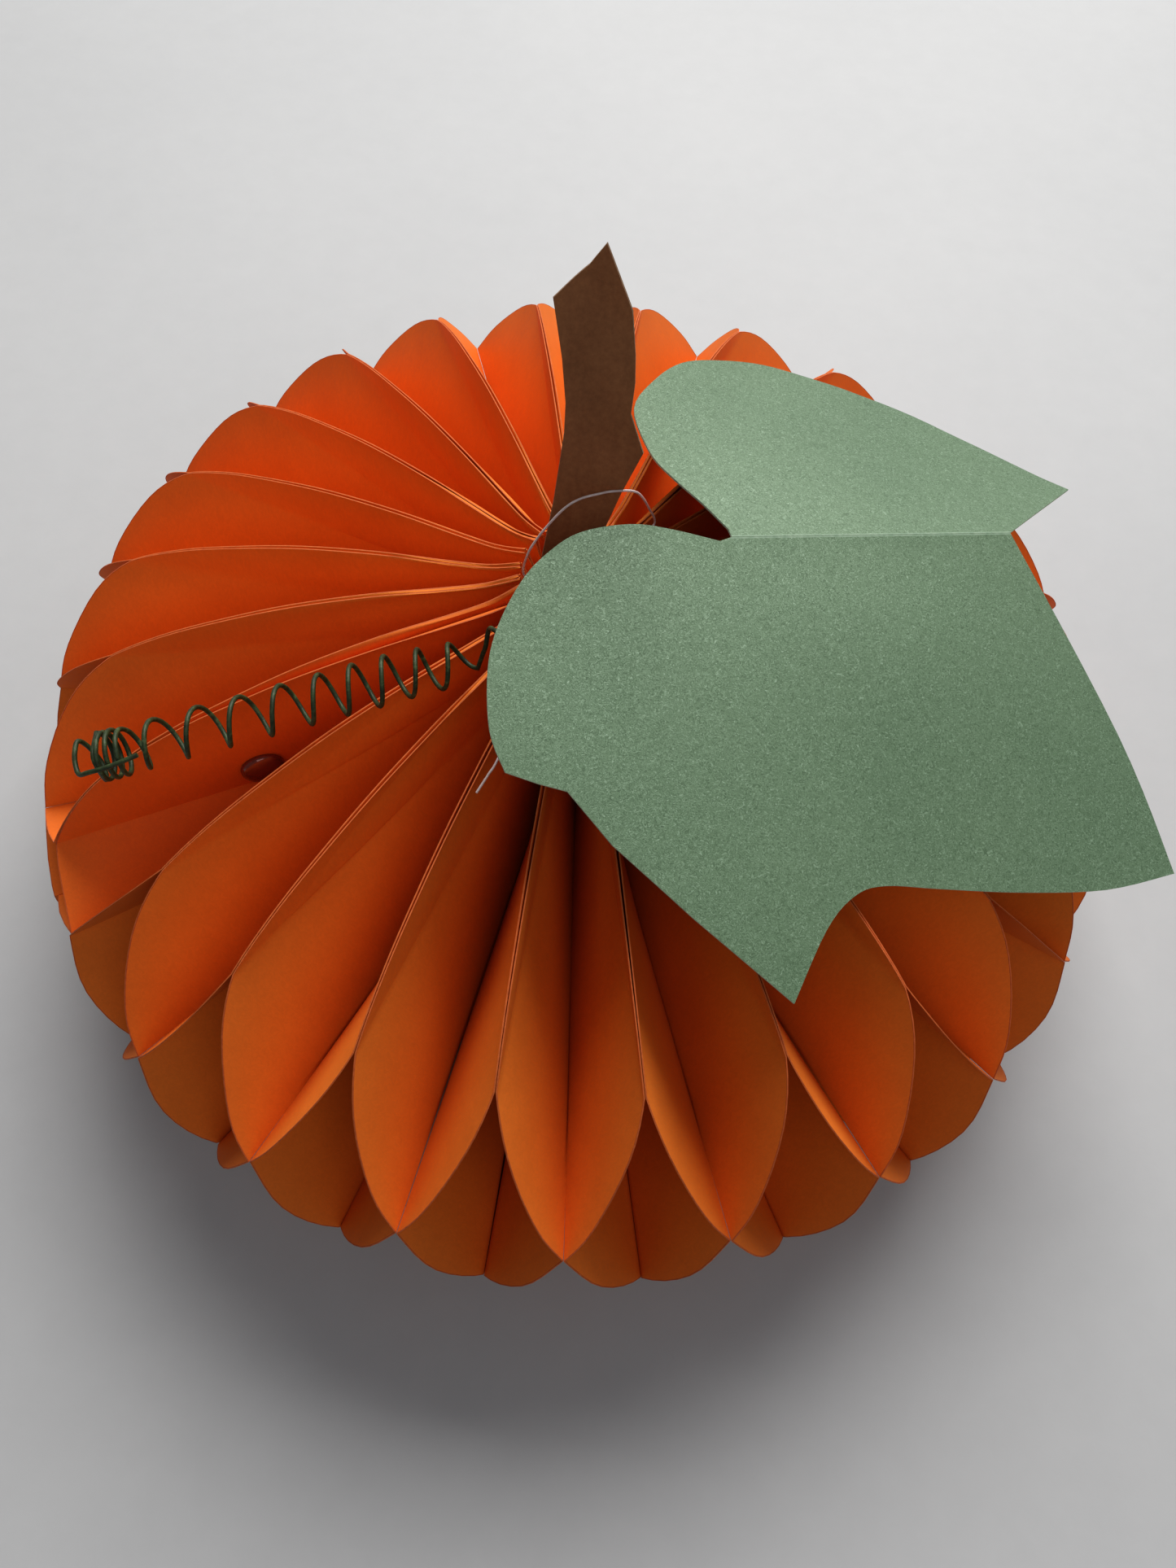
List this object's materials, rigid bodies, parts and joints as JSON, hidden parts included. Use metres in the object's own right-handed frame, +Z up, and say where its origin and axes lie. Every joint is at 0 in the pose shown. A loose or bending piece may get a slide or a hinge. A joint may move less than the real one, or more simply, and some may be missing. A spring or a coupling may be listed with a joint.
{
  "type": "folding card pumpkin lantern",
  "caption": "Round hanging pumpkin of glued card fans that folds flat round its spine, with stem, creased leaf, wire tendril and thread loop.",
  "frame": {"origin": "on the spine's axis, in the plane of the cards' flat lower edges that the pumpkin stands on", "axes": "+Z up along the spine, +X towards the leaf, -Y towards the side the leaf's blade hangs down over"},
  "size_m": [0.258, 0.258, 0.1694],
  "materials": {
    "orange_card": "matte",
    "cover_card": "matte",
    "spine_glue": "matte",
    "brown_card": "matte",
    "green_card": "pearl",
    "paper_tape": "matte",
    "green_wire": "satin",
    "green_wire_straight": "satin",
    "clear_thread": "gloss",
    "bronze_metal": "gloss"
  },
  "bodies": {
    "fan_core": {"front_cover": "cover_card", "spine_binding": "spine_glue", "hanging_loop": "clear_thread", "thread_tail": "clear_thread", "upper_brad": "bronze_metal"},
    "card_02": {"card_02": "orange_card"},
    "card_03": {"card_03": "orange_card"},
    "card_04": {"card_04": "orange_card"},
    "card_05": {"card_05": "orange_card"},
    "card_06": {"card_06": "orange_card"},
    "card_07": {"card_07": "orange_card"},
    "card_08": {"card_08": "orange_card"},
    "card_09": {"card_09": "orange_card"},
    "card_10": {"card_10": "orange_card"},
    "card_11": {"card_11": "orange_card"},
    "card_12": {"card_12": "orange_card"},
    "card_13": {"card_13": "orange_card"},
    "card_14": {"card_14": "orange_card"},
    "card_15": {"card_15": "orange_card"},
    "card_16": {"card_16": "orange_card"},
    "card_17": {"card_17": "orange_card"},
    "card_18": {"card_18": "orange_card"},
    "card_19": {"card_19": "orange_card"},
    "card_20": {"card_20": "orange_card"},
    "card_21": {"card_21": "orange_card"},
    "card_22": {"card_22": "orange_card"},
    "card_23": {"card_23": "orange_card"},
    "card_24": {"card_24": "orange_card"},
    "card_25": {"card_25": "orange_card"},
    "card_26": {"card_26": "orange_card"},
    "card_27": {"card_27": "orange_card"},
    "card_28": {"card_28": "orange_card"},
    "card_29": {"card_29": "orange_card"},
    "card_30": {"card_30": "orange_card"},
    "card_31": {"card_31": "orange_card"},
    "card_32": {"card_32": "orange_card"},
    "card_33": {"card_33": "orange_card"},
    "card_34": {"card_34": "orange_card"},
    "card_35": {"card_35": "orange_card"},
    "card_36": {"card_36": "orange_card"},
    "card_37": {"card_37": "orange_card"},
    "card_38": {"card_38": "orange_card"},
    "card_39": {"card_39": "orange_card"},
    "card_40": {"card_40": "orange_card"},
    "card_41": {"card_41": "orange_card"},
    "card_42": {"card_42": "orange_card"},
    "card_43": {"card_43": "orange_card"},
    "card_44": {"card_44": "orange_card"},
    "card_45": {"card_45": "orange_card"},
    "card_46": {"card_46": "orange_card"},
    "card_47": {"card_47": "orange_card"},
    "back_cover": {"back_cover": "cover_card"},
    "stem": {"stem": "brown_card"},
    "leaf": {"leaf_blade": "green_card", "leaf_tape": "paper_tape"},
    "leaf_flap": {"leaf_flap": "green_card"},
    "tendril": {"tendril_coil": "green_wire", "tendril_lead": "green_wire_straight"},
    "upper_brad_leg_in": {"upper_brad_leg_in": "bronze_metal"},
    "upper_brad_leg_out": {"upper_brad_leg_out": "bronze_metal"}
  },
  "joints": [
    {"name": "fan_fold", "type": "hinge", "parent": "fan_core", "child": "back_cover", "pos_m": [0, 0, 0.058], "axis": [0, 0, 1], "range_deg": [-351.56, 0], "deforming": ["front_cover", "card_02", "card_03", "card_04", "card_05", "card_06", "card_07", "card_08", "card_09", "card_10", "card_11", "card_12", "card_13", "card_14", "card_15", "card_16", "card_17", "card_18", "card_19", "card_20", "card_21", "card_22", "card_23", "card_24", "card_25", "card_26", "card_27", "card_28", "card_29", "card_30", "card_31", "card_32", "card_33", "card_34", "card_35", "card_36", "card_37", "card_38", "card_39", "card_40", "card_41", "card_42", "card_43", "card_44", "card_45", "card_46", "card_47", "back_cover"]},
    {"name": "card_02_turn", "type": "hinge", "parent": "fan_core", "child": "card_02", "pos_m": [0, 0, 0.058], "axis": [0, 0, 1], "range_deg": [-7.78, 0]},
    {"name": "card_03_turn", "type": "hinge", "parent": "fan_core", "child": "card_03", "pos_m": [0, 0, 0.058], "axis": [0, 0, 1], "range_deg": [-15.26, 0]},
    {"name": "card_04_turn", "type": "hinge", "parent": "fan_core", "child": "card_04", "pos_m": [0, 0, 0.058], "axis": [0, 0, 1], "range_deg": [-22.74, 0]},
    {"name": "card_05_turn", "type": "hinge", "parent": "fan_core", "child": "card_05", "pos_m": [0, 0, 0.058], "axis": [0, 0, 1], "range_deg": [-30.22, 0]},
    {"name": "card_06_turn", "type": "hinge", "parent": "fan_core", "child": "card_06", "pos_m": [0, 0, 0.058], "axis": [0, 0, 1], "range_deg": [-37.7, 0]},
    {"name": "card_07_turn", "type": "hinge", "parent": "fan_core", "child": "card_07", "pos_m": [0, 0, 0.058], "axis": [0, 0, 1], "range_deg": [-45.18, 0]},
    {"name": "card_08_turn", "type": "hinge", "parent": "fan_core", "child": "card_08", "pos_m": [0, 0, 0.058], "axis": [0, 0, 1], "range_deg": [-52.66, 0]},
    {"name": "card_09_turn", "type": "hinge", "parent": "fan_core", "child": "card_09", "pos_m": [0, 0, 0.058], "axis": [0, 0, 1], "range_deg": [-60.14, 0]},
    {"name": "card_10_turn", "type": "hinge", "parent": "fan_core", "child": "card_10", "pos_m": [0, 0, 0.058], "axis": [0, 0, 1], "range_deg": [-67.62, 0]},
    {"name": "card_11_turn", "type": "hinge", "parent": "fan_core", "child": "card_11", "pos_m": [0, 0, 0.058], "axis": [0, 0, 1], "range_deg": [-75.1, 0]},
    {"name": "card_12_turn", "type": "hinge", "parent": "fan_core", "child": "card_12", "pos_m": [0, 0, 0.058], "axis": [0, 0, 1], "range_deg": [-82.58, 0]},
    {"name": "card_13_turn", "type": "hinge", "parent": "fan_core", "child": "card_13", "pos_m": [0, 0, 0.058], "axis": [0, 0, 1], "range_deg": [-90.06, 0]},
    {"name": "card_14_turn", "type": "hinge", "parent": "fan_core", "child": "card_14", "pos_m": [0, 0, 0.058], "axis": [0, 0, 1], "range_deg": [-97.54, 0]},
    {"name": "card_15_turn", "type": "hinge", "parent": "fan_core", "child": "card_15", "pos_m": [0, 0, 0.058], "axis": [0, 0, 1], "range_deg": [-105.02, 0]},
    {"name": "card_16_turn", "type": "hinge", "parent": "fan_core", "child": "card_16", "pos_m": [0, 0, 0.058], "axis": [0, 0, 1], "range_deg": [-112.5, 0]},
    {"name": "card_17_turn", "type": "hinge", "parent": "fan_core", "child": "card_17", "pos_m": [0, 0, 0.058], "axis": [0, 0, 1], "range_deg": [-119.98, 0]},
    {"name": "card_18_turn", "type": "hinge", "parent": "fan_core", "child": "card_18", "pos_m": [0, 0, 0.058], "axis": [0, 0, 1], "range_deg": [-127.46, 0]},
    {"name": "card_19_turn", "type": "hinge", "parent": "fan_core", "child": "card_19", "pos_m": [0, 0, 0.058], "axis": [0, 0, 1], "range_deg": [-134.94, 0]},
    {"name": "card_20_turn", "type": "hinge", "parent": "fan_core", "child": "card_20", "pos_m": [0, 0, 0.058], "axis": [0, 0, 1], "range_deg": [-142.42, 0]},
    {"name": "card_21_turn", "type": "hinge", "parent": "fan_core", "child": "card_21", "pos_m": [0, 0, 0.058], "axis": [0, 0, 1], "range_deg": [-149.9, 0]},
    {"name": "card_22_turn", "type": "hinge", "parent": "fan_core", "child": "card_22", "pos_m": [0, 0, 0.058], "axis": [0, 0, 1], "range_deg": [-157.38, 0]},
    {"name": "card_23_turn", "type": "hinge", "parent": "fan_core", "child": "card_23", "pos_m": [0, 0, 0.058], "axis": [0, 0, 1], "range_deg": [-164.86, 0]},
    {"name": "card_24_turn", "type": "hinge", "parent": "fan_core", "child": "card_24", "pos_m": [0, 0, 0.058], "axis": [0, 0, 1], "range_deg": [-172.34, 0]},
    {"name": "card_25_turn", "type": "hinge", "parent": "fan_core", "child": "card_25", "pos_m": [0, 0, 0.058], "axis": [0, 0, 1], "range_deg": [-179.82, 0]},
    {"name": "card_26_turn", "type": "hinge", "parent": "fan_core", "child": "card_26", "pos_m": [0, 0, 0.058], "axis": [0, 0, 1], "range_deg": [-187.3, 0]},
    {"name": "card_27_turn", "type": "hinge", "parent": "fan_core", "child": "card_27", "pos_m": [0, 0, 0.058], "axis": [0, 0, 1], "range_deg": [-194.78, 0]},
    {"name": "card_28_turn", "type": "hinge", "parent": "fan_core", "child": "card_28", "pos_m": [0, 0, 0.058], "axis": [0, 0, 1], "range_deg": [-202.26, 0]},
    {"name": "card_29_turn", "type": "hinge", "parent": "fan_core", "child": "card_29", "pos_m": [0, 0, 0.058], "axis": [0, 0, 1], "range_deg": [-209.74, 0]},
    {"name": "card_30_turn", "type": "hinge", "parent": "fan_core", "child": "card_30", "pos_m": [0, 0, 0.058], "axis": [0, 0, 1], "range_deg": [-217.22, 0]},
    {"name": "card_31_turn", "type": "hinge", "parent": "fan_core", "child": "card_31", "pos_m": [0, 0, 0.058], "axis": [0, 0, 1], "range_deg": [-224.7, 0]},
    {"name": "card_32_turn", "type": "hinge", "parent": "fan_core", "child": "card_32", "pos_m": [0, 0, 0.058], "axis": [0, 0, 1], "range_deg": [-232.18, 0]},
    {"name": "card_33_turn", "type": "hinge", "parent": "fan_core", "child": "card_33", "pos_m": [0, 0, 0.058], "axis": [0, 0, 1], "range_deg": [-239.66, 0]},
    {"name": "card_34_turn", "type": "hinge", "parent": "fan_core", "child": "card_34", "pos_m": [0, 0, 0.058], "axis": [0, 0, 1], "range_deg": [-247.14, 0]},
    {"name": "card_35_turn", "type": "hinge", "parent": "fan_core", "child": "card_35", "pos_m": [0, 0, 0.058], "axis": [0, 0, 1], "range_deg": [-254.62, 0]},
    {"name": "card_36_turn", "type": "hinge", "parent": "fan_core", "child": "card_36", "pos_m": [0, 0, 0.058], "axis": [0, 0, 1], "range_deg": [-262.1, 0]},
    {"name": "card_37_turn", "type": "hinge", "parent": "fan_core", "child": "card_37", "pos_m": [0, 0, 0.058], "axis": [0, 0, 1], "range_deg": [-269.58, 0]},
    {"name": "card_38_turn", "type": "hinge", "parent": "fan_core", "child": "card_38", "pos_m": [0, 0, 0.058], "axis": [0, 0, 1], "range_deg": [-277.06, 0]},
    {"name": "card_39_turn", "type": "hinge", "parent": "fan_core", "child": "card_39", "pos_m": [0, 0, 0.058], "axis": [0, 0, 1], "range_deg": [-284.54, 0]},
    {"name": "card_40_turn", "type": "hinge", "parent": "fan_core", "child": "card_40", "pos_m": [0, 0, 0.058], "axis": [0, 0, 1], "range_deg": [-292.02, 0]},
    {"name": "card_41_turn", "type": "hinge", "parent": "fan_core", "child": "card_41", "pos_m": [0, 0, 0.058], "axis": [0, 0, 1], "range_deg": [-299.5, 0]},
    {"name": "card_42_turn", "type": "hinge", "parent": "fan_core", "child": "card_42", "pos_m": [0, 0, 0.058], "axis": [0, 0, 1], "range_deg": [-306.98, 0]},
    {"name": "card_43_turn", "type": "hinge", "parent": "fan_core", "child": "card_43", "pos_m": [0, 0, 0.058], "axis": [0, 0, 1], "range_deg": [-314.46, 0]},
    {"name": "card_44_turn", "type": "hinge", "parent": "fan_core", "child": "card_44", "pos_m": [0, 0, 0.058], "axis": [0, 0, 1], "range_deg": [-321.94, 0]},
    {"name": "card_45_turn", "type": "hinge", "parent": "fan_core", "child": "card_45", "pos_m": [0, 0, 0.058], "axis": [0, 0, 1], "range_deg": [-329.42, 0]},
    {"name": "card_46_turn", "type": "hinge", "parent": "fan_core", "child": "card_46", "pos_m": [0, 0, 0.058], "axis": [0, 0, 1], "range_deg": [-336.9, 0]},
    {"name": "card_47_turn", "type": "hinge", "parent": "fan_core", "child": "card_47", "pos_m": [0, 0, 0.058], "axis": [0, 0, 1], "range_deg": [-344.38, 0]},
    {"name": "stem_pull", "type": "slide", "parent": "fan_core", "child": "stem", "axis": [0, 0.2079, 0.9781], "range_m": [0, 0.025]},
    {"name": "leaf_lift", "type": "hinge", "parent": "fan_core", "child": "leaf", "pos_m": [0, -0.006, 0.1255], "axis": [-0.2939, -0.9558, 0], "range_deg": [0, 35]},
    {"name": "leaf_crease", "type": "hinge", "parent": "leaf", "child": "leaf_flap", "pos_m": [0.0274, -0.0005, 0.1227], "axis": [0.9386, 0.2727, -0.2113], "range_deg": [-5, 110]},
    {"name": "tendril_swing", "type": "hinge", "parent": "fan_core", "child": "tendril", "pos_m": [0, 0, 0.113], "axis": [0, 0, 1], "range_deg": [-12, 8]},
    {"name": "upper_brad_leg_in_bend", "type": "hinge", "parent": "fan_core", "child": "upper_brad_leg_in", "pos_m": [-0.0669, -0.02997, 0.0745], "axis": [0, 0, 1], "range_deg": [0, 85]},
    {"name": "upper_brad_leg_out_bend", "type": "hinge", "parent": "fan_core", "child": "upper_brad_leg_out", "pos_m": [-0.06817, -0.03056, 0.0745], "axis": [0, 0, -1], "range_deg": [0, 85]}
  ],
  "couplings": [
    {"joint": "card_02_turn", "follows": "fan_fold", "ratio": 0.021277},
    {"joint": "card_03_turn", "follows": "fan_fold", "ratio": 0.042553},
    {"joint": "card_04_turn", "follows": "fan_fold", "ratio": 0.06383},
    {"joint": "card_05_turn", "follows": "fan_fold", "ratio": 0.085106},
    {"joint": "card_06_turn", "follows": "fan_fold", "ratio": 0.10638},
    {"joint": "card_07_turn", "follows": "fan_fold", "ratio": 0.12766},
    {"joint": "card_08_turn", "follows": "fan_fold", "ratio": 0.14894},
    {"joint": "card_09_turn", "follows": "fan_fold", "ratio": 0.17021},
    {"joint": "card_10_turn", "follows": "fan_fold", "ratio": 0.19149},
    {"joint": "card_11_turn", "follows": "fan_fold", "ratio": 0.21277},
    {"joint": "card_12_turn", "follows": "fan_fold", "ratio": 0.23404},
    {"joint": "card_13_turn", "follows": "fan_fold", "ratio": 0.25532},
    {"joint": "card_14_turn", "follows": "fan_fold", "ratio": 0.2766},
    {"joint": "card_15_turn", "follows": "fan_fold", "ratio": 0.29787},
    {"joint": "card_16_turn", "follows": "fan_fold", "ratio": 0.31915},
    {"joint": "card_17_turn", "follows": "fan_fold", "ratio": 0.34043},
    {"joint": "card_18_turn", "follows": "fan_fold", "ratio": 0.3617},
    {"joint": "card_19_turn", "follows": "fan_fold", "ratio": 0.38298},
    {"joint": "card_20_turn", "follows": "fan_fold", "ratio": 0.40426},
    {"joint": "card_21_turn", "follows": "fan_fold", "ratio": 0.42553},
    {"joint": "card_22_turn", "follows": "fan_fold", "ratio": 0.44681},
    {"joint": "card_23_turn", "follows": "fan_fold", "ratio": 0.46809},
    {"joint": "card_24_turn", "follows": "fan_fold", "ratio": 0.48936},
    {"joint": "card_25_turn", "follows": "fan_fold", "ratio": 0.51064},
    {"joint": "card_26_turn", "follows": "fan_fold", "ratio": 0.53191},
    {"joint": "card_27_turn", "follows": "fan_fold", "ratio": 0.55319},
    {"joint": "card_28_turn", "follows": "fan_fold", "ratio": 0.57447},
    {"joint": "card_29_turn", "follows": "fan_fold", "ratio": 0.59574},
    {"joint": "card_30_turn", "follows": "fan_fold", "ratio": 0.61702},
    {"joint": "card_31_turn", "follows": "fan_fold", "ratio": 0.6383},
    {"joint": "card_32_turn", "follows": "fan_fold", "ratio": 0.65957},
    {"joint": "card_33_turn", "follows": "fan_fold", "ratio": 0.68085},
    {"joint": "card_34_turn", "follows": "fan_fold", "ratio": 0.70213},
    {"joint": "card_35_turn", "follows": "fan_fold", "ratio": 0.7234},
    {"joint": "card_36_turn", "follows": "fan_fold", "ratio": 0.74468},
    {"joint": "card_37_turn", "follows": "fan_fold", "ratio": 0.76596},
    {"joint": "card_38_turn", "follows": "fan_fold", "ratio": 0.78723},
    {"joint": "card_39_turn", "follows": "fan_fold", "ratio": 0.80851},
    {"joint": "card_40_turn", "follows": "fan_fold", "ratio": 0.82979},
    {"joint": "card_41_turn", "follows": "fan_fold", "ratio": 0.85106},
    {"joint": "card_42_turn", "follows": "fan_fold", "ratio": 0.87234},
    {"joint": "card_43_turn", "follows": "fan_fold", "ratio": 0.89362},
    {"joint": "card_44_turn", "follows": "fan_fold", "ratio": 0.91489},
    {"joint": "card_45_turn", "follows": "fan_fold", "ratio": 0.93617},
    {"joint": "card_46_turn", "follows": "fan_fold", "ratio": 0.95745},
    {"joint": "card_47_turn", "follows": "fan_fold", "ratio": 0.97872}
  ]
}
